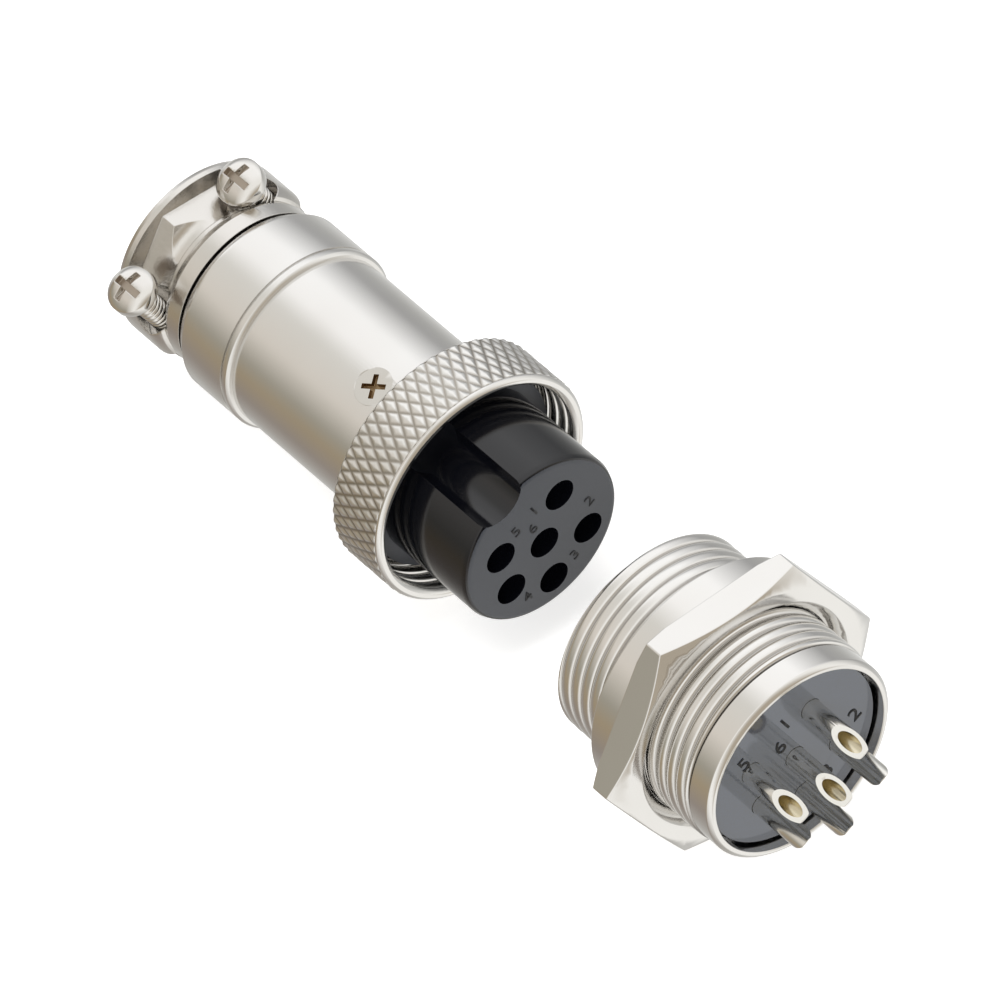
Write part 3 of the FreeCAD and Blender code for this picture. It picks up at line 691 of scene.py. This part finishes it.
for number in (1, 2):
    clamp_screw = copy_of(f"clamp_screw_{number}", f"clamp_screw_{number}_headed", screw_nickel)
    stand = rolled(KEY_ROLL) @ Matrix.Translation((CLAMP_STATION, CLAMP_REACH[number], 0))
    lying = stand.inverted()
    underside = HEAD_UNDERSIDE[number]
    for vert in clamp_screw.data.vertices:
        spot = lying @ vert.co
        if spot.z < underside + SEAM and hypot(spot.x, spot.y) < SHANK_REACH:
            spot.x *= SCREW_ROOT / SCREW_CREST
            spot.y *= SCREW_ROOT / SCREW_CREST
        if spot.z > underside - SEAM:
            spot.z = underside + HEAD_RAISE[number] + (spot.z - underside) * HEAD_THICKER
            if hypot(spot.x, spot.y) > SCREW_CREST:
                spot.x *= HEAD_WIDER
                spot.y *= HEAD_WIDER
        vert.co = stand @ spot
    clamp_screw.data.materials.append(recess_grey)
    head_top = max((lying @ vert.co).z for vert in clamp_screw.data.vertices)
    for polygon in clamp_screw.data.polygons:
        spot = lying @ polygon.center
        sunk = underside + RECESS_BELOW < spot.z < head_top - RECESS_BELOW
        if sunk and hypot(spot.x, spot.y) < RECESS_REACH:
            polygon.material_index = 1
    soften(clamp_screw, width=0.05 * MM)
    coil = threaded_band(SCREW_TIP, underside, SCREW_CREST, COIL_ROOT, SCREW_PITCH, COIL_INSIDE,
                         steps=36)
    bmesh.ops.transform(coil, matrix=stand @ Matrix.Rotation(-pi / 2, 4, "Y"), verts=coil.verts)
    screw_thread = piece_from(f"clamp_screw_{number}_thread", coil, screw_nickel)
    for part in (clamp_screw, screw_thread):
        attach(part, f"clamp_screw_{number}")

# Socket shell
# The panel half: one turning with a thread at each end and a round flange between, where the panel
# stops. The rear thread runs out into a plain rim with a thin wall round the moulding.
SOCKET_LOW, SOCKET_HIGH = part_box("socket_shell")
SOCKET_FRONT = SOCKET_LOW.x
SOCKET_REAR = SOCKET_HIGH.x
FLANGE_RADIUS = SOCKET_HIGH.z
FLANGE_FRONT = -2.4 * MM
THREAD_RADIUS = 8.0 * MM
GROOVE_WIDTH = 0.5 * MM
REAR_THREAD_START = 0.2 * MM
REAR_THREAD = 5.8 * MM
RIM_RADIUS = 7.85 * MM
SEAT_RADIUS = 7.23 * MM
SEAT_STATION = 1.75 * MM
RIM_EDGE = 0.3 * MM
SOCKET_BORE = 6.75 * MM
thread_root = THREAD_RADIUS - THREAD_DEPTH
thread_shade_top = THREAD_RADIUS - THREAD_DEPTH * 0.35
under_thread = thread_root - EDGE / 4
socket_outline = [
    (SOCKET_FRONT, SOCKET_BORE),
    (SOCKET_FRONT, under_thread),
    (FLANGE_FRONT - GROOVE_WIDTH, under_thread),
    (FLANGE_FRONT, under_thread),
    (FLANGE_FRONT, FLANGE_RADIUS - EDGE / 2),
    (FLANGE_FRONT + EDGE / 2, FLANGE_RADIUS),
    (0, FLANGE_RADIUS),
    (0, under_thread),
    (REAR_THREAD, under_thread),
    (REAR_THREAD + EDGE / 2, RIM_RADIUS),
    (SOCKET_REAR - RIM_EDGE, RIM_RADIUS),
    (SOCKET_REAR, RIM_RADIUS - RIM_EDGE),
    (SOCKET_REAR, SEAT_RADIUS),
    (SEAT_STATION, SEAT_RADIUS),
    (SEAT_STATION, SOCKET_BORE),
]
socket = piece_from("socket_shell_turned", spun(socket_outline), bright_nickel)
soften(socket, width=0.06 * MM)
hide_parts("socket_shell")
# The thread roots are painted darker towards the axis, as painted shade.
thread_nickel = plated("bright nickel plate, threaded, painted root shade", "E9E8E6", "E2E0DD", 0.13,
                       low=("5A5146", thread_root, thread_shade_top), **BRIGHT_SKIN)
front_turns = threaded_band(SOCKET_FRONT, FLANGE_FRONT - GROOVE_WIDTH, THREAD_RADIUS, thread_root,
                            THREAD_PITCH, inner=SOCKET_BORE + EDGE)
front_thread = piece_from("socket_front_thread", front_turns, thread_nickel)
rear_turns = threaded_band(REAR_THREAD_START, REAR_THREAD, THREAD_RADIUS, thread_root,
                           THREAD_PITCH, inner=thread_root - EDGE / 2)
rear_thread = piece_from("socket_rear_thread", rear_turns, thread_nickel)
for part in (socket, front_thread, rear_thread):
    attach(part, "socket")

# Socket insulator
# The dark grey moulding that holds the pins, seated in the shell from behind. Its face is glossier
# than the plug's and mirrors the pins.
DISC_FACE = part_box("socket_insulator")[1].x
DISC_DIGIT_HEIGHT = 1.8 * MM
DISC_DIGITS = {"1": (1.2, 3.0), "2": (4.7, -2.7), "3": (0.7, -4.6),
               "4": (-3.6, -4.1), "5": (-2.6, 3.6), "6": (-0.2, 1.6)}
slate_moulding = moulded("slate grey thermoset", "1B1E23", "2A3547", 0.3, 0.05, ior=2.1)
insulator = copy_of("socket_insulator", "socket_insulator_moulding", slate_moulding)
soften(insulator, width=0.05 * MM)
disc_digits = digits("socket_face_digits", digit_paint, DISC_FACE, DISC_DIGITS, DISC_DIGIT_HEIGHT)
for part in (insulator, disc_digits):
    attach(part, "socket")

# Pins
# Six turned brass pins with silver plate. Each ends in a cup cut open on a slant, where the wire is
# soldered, and the plating is thin and yellowish inside the cup.
silver_plate = plated("silver plate on brass pin", "EBEAE6", "E0DED8", 0.14,
                      turned_spacing=0.06 * MM, turned_depth=0.0004 * MM,
                      grain=0.1 * MM, grain_depth=0.0004 * MM)
cup_inside = plated("thin plate inside the cup", "E4DDC8", "DACFB0", 0.25,
                    turned_spacing=0.06 * MM, turned_depth=0.0005 * MM,
                    grain=0.1 * MM, grain_depth=0.0005 * MM)
CUP_BORE = 0.51 * MM
CUP_WALL = CUP_BORE * 1.03
CUP_START = SOCKET_REAR - EDGE
for number in range(1, 7):
    pin = copy_of(f"pin_{number}", f"pin_{number}_cupped", silver_plate)
    pin.data.materials.append(cup_inside)
    pin_low, pin_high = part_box(f"pin_{number}")
    pin_y = (pin_low.y + pin_high.y) / 2
    pin_z = (pin_low.z + pin_high.z) / 2
    for polygon in pin.data.polygons:
        corners = [pin.data.vertices[index].co for index in polygon.vertices]
        if all(corner.x > CUP_START and hypot(corner.y - pin_y, corner.z - pin_z) < CUP_WALL
               for corner in corners):
            polygon.material_index = 1
    soften(pin, width=0.03 * MM)
    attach(pin, "socket")

# Panel nut
# A hexagon nut turned and milled from brass, chamfered on both faces and bright nickel-plated. It
# runs on the socket's rear thread and holds the flange against the panel.
hexagon = copy_of("panel_nut", "panel_nut_milled", bright_nickel)
soften(hexagon, width=0.1 * MM, segments=3)
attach(hexagon, "panel_nut")

# Floor and light
# A plain white sweep in a soft studio. What metal mirrors is one wide soft light above and behind,
# a paler wall in front and two grey cards low at the sides, so that it shows white with a few soft,
# slightly warm darker bands. Plain lamps, hidden from reflections, light what is not metal.
FLOOR = cad_box[0].z
FLOOR_REACH = 1.2
FLOOR_GLOW = 0.55
SKY_STRENGTH = 0.5
LAMP_AIM = Vector((-20 * MM, 0, 0))
ROOM_STRENGTH = 1.35
ROOM_TONES = [
    (-180, "A5A39F"),
    (-145, "888079"),
    (-115, "958872"),
    (-95, "938F84"),
    (-60, "CAC4BC"),
    (-18, "CCCAC5"),
    (5, "EEEDEC"),
    (40, "F2F2F2"),
    (62, "CACACA"),
    (84, "989898"),
    (105, "A2A2A0"),
    (145, "CCCCCA"),
    (180, "A5A39F"),
]
AHEAD_TONES = [
    ("E6E5E2", 0.1, 0.5),
    ("A39A8C", 0.62, 0.85),
]


def room(tree, direction):
    """The colour of the studio in a direction, by its angle about the connector's axis.

    Towards the front end of the axis it goes over to the tones for what lies ahead."""
    parts = add_node(tree, "ShaderNodeSeparateXYZ", Vector=direction)
    angle = add_node(tree, "ShaderNodeMath", {"operation": "ARCTAN2"}, _0=parts.outputs["Y"],
                     _1=parts.outputs["Z"])
    turn = add_node(tree, "ShaderNodeMapRange", Value=angle.outputs["Value"], From_Min=-pi,
                    From_Max=pi)
    ramp = add_node(tree, "ShaderNodeValToRGB", Fac=turn.outputs["Result"])
    stops = ramp.color_ramp.elements
    while len(stops) < len(ROOM_TONES):
        stops.new(0.5)
    for stop, (degrees, tone) in zip(stops, ROOM_TONES):
        stop.position = (degrees + 180) / 360
        stop.color = linear(tone)
    colour = ramp.outputs["Color"]
    for tone, start, end in AHEAD_TONES:
        ahead = add_node(tree, "ShaderNodeMapRange", Value=parts.outputs["X"], From_Min=start,
                         From_Max=end)
        colour = add_node(tree, "ShaderNodeMix", {"data_type": "RGBA"}, _0=ahead.outputs["Result"],
                          _6=colour, _7=linear(tone)).outputs[2]
    return colour


floor_mesh = bmesh.new()
bmesh.ops.create_grid(floor_mesh, x_segments=1, y_segments=1, size=FLOOR_REACH,
                      matrix=Matrix.Translation((0, 0, FLOOR)))
floor_paint, floor_tree, floor_shader = new_material("white sweep", Base_Color=linear("F4F4F4"),
                                                     Roughness=0.9)[:3]
rays = add_node(floor_tree, "ShaderNodeLightPath")
glow = add_node(floor_tree, "ShaderNodeMath", {"operation": "MULTIPLY"},
                _0=rays.outputs["Is Camera Ray"], _1=FLOOR_GLOW)
floor_shader.inputs["Emission Color"].default_value = (1, 1, 1, 1)
floor_tree.links.new(glow.outputs["Value"], floor_shader.inputs["Emission Strength"])
seen_from = add_node(floor_tree, "ShaderNodeNewGeometry").outputs["Incoming"]
onward = add_node(floor_tree, "ShaderNodeVectorMath", {"operation": "SCALE"}, _0=seen_from,
                  Scale=-1.0)
mirrored = add_node(floor_tree, "ShaderNodeEmission", Strength=ROOM_STRENGTH,
                    Color=room(floor_tree, onward.outputs["Vector"]))
sweep = add_node(floor_tree, "ShaderNodeMixShader", _0=rays.outputs["Is Glossy Ray"],
                 _1=floor_shader.outputs["BSDF"], _2=mirrored.outputs["Emission"])
floor_tree.links.new(sweep.outputs["Shader"], floor_tree.nodes["Material Output"].inputs["Surface"])
floor_sheet = piece_from("floor", floor_mesh, floor_paint)

world = bpy.data.worlds.new("studio")
bpy.context.scene.world = world
world.use_nodes = True
world_tree = world.node_tree
plain_sky = world_tree.nodes["Background"]
plain_sky.inputs["Color"].default_value = linear("F2F0EC")
plain_sky.inputs["Strength"].default_value = SKY_STRENGTH
looking = add_node(world_tree, "ShaderNodeTexCoord").outputs["Generated"]
mirrored_sky = add_node(world_tree, "ShaderNodeBackground", Color=room(world_tree, looking),
                        Strength=ROOM_STRENGTH)
sky_rays = add_node(world_tree, "ShaderNodeLightPath")
sky = add_node(world_tree, "ShaderNodeMixShader", _0=sky_rays.outputs["Is Glossy Ray"],
               _1=plain_sky.outputs["Background"], _2=mirrored_sky.outputs["Background"])
world_tree.links.new(sky.outputs["Shader"], world_tree.nodes["World Output"].inputs["Surface"])


def soft_light(name, place, size, power):
    """A square lamp that faces the connector and that metal does not mirror."""
    data = bpy.data.lights.new(name, "AREA")
    data.shape = "SQUARE"
    data.size = size
    data.energy = power
    lamp = bpy.data.objects.new(name, data)
    lamp.location = place
    lamp.rotation_euler = (LAMP_AIM - Vector(place)).to_track_quat("-Z", "Y").to_euler()
    lamp.visible_glossy = False
    bpy.context.scene.collection.objects.link(lamp)


soft_light("top", place=(-0.05, -0.05, 0.45), size=0.30, power=1.2)
soft_light("front", place=(0.35, -0.25, 0.30), size=0.25, power=1.2)

# Camera
# The photo looks down on the connector from the plug's open side through a long lens, turned so
# that the axis runs down to the right. MIDDLE is a point about half-way along the connector's axis,
# and MIDDLE_PX is the pixel on which it falls.
MIDDLE = Vector((-22 * MM, 0, 0))
DISTANCE = 1000 * MM
PIXELS = 1000
PIXELS_PER_M = 14860
AXIS_LEAN = 0.56
AXIS_TILT = radians(40.5)
MIDDLE_PX = (514.0, 516.5)
SENSOR_MM = 36
key_side = rolled(KEY_ROLL).to_3x3() @ Vector((0, 0, 1))
back = Vector((1, 0, 0)) * AXIS_LEAN + key_side * sqrt(1 - AXIS_LEAN ** 2)
along = (Vector((1, 0, 0)) - back * AXIS_LEAN).normalized()
aside = along.cross(back)
right = along * cos(AXIS_TILT) - aside * sin(AXIS_TILT)
down = along * sin(AXIS_TILT) + aside * cos(AXIS_TILT)
offset = (right * (PIXELS / 2 - MIDDLE_PX[0]) + down * (PIXELS / 2 - MIDDLE_PX[1])) / PIXELS_PER_M
camera_data = bpy.data.cameras.new("camera")
camera_data.sensor_width = SENSOR_MM
camera_data.lens = PIXELS_PER_M * DISTANCE / PIXELS * camera_data.sensor_width
camera_data.clip_end = DISTANCE * 10
camera = bpy.data.objects.new("camera", camera_data)
turn = Matrix((right, -down, back)).transposed().to_4x4()
camera.matrix_world = Matrix.Translation(MIDDLE + offset + back * DISTANCE) @ turn
bpy.context.scene.collection.objects.link(camera)
bpy.context.scene.camera = camera
bpy.context.scene.view_settings.view_transform = "Standard"
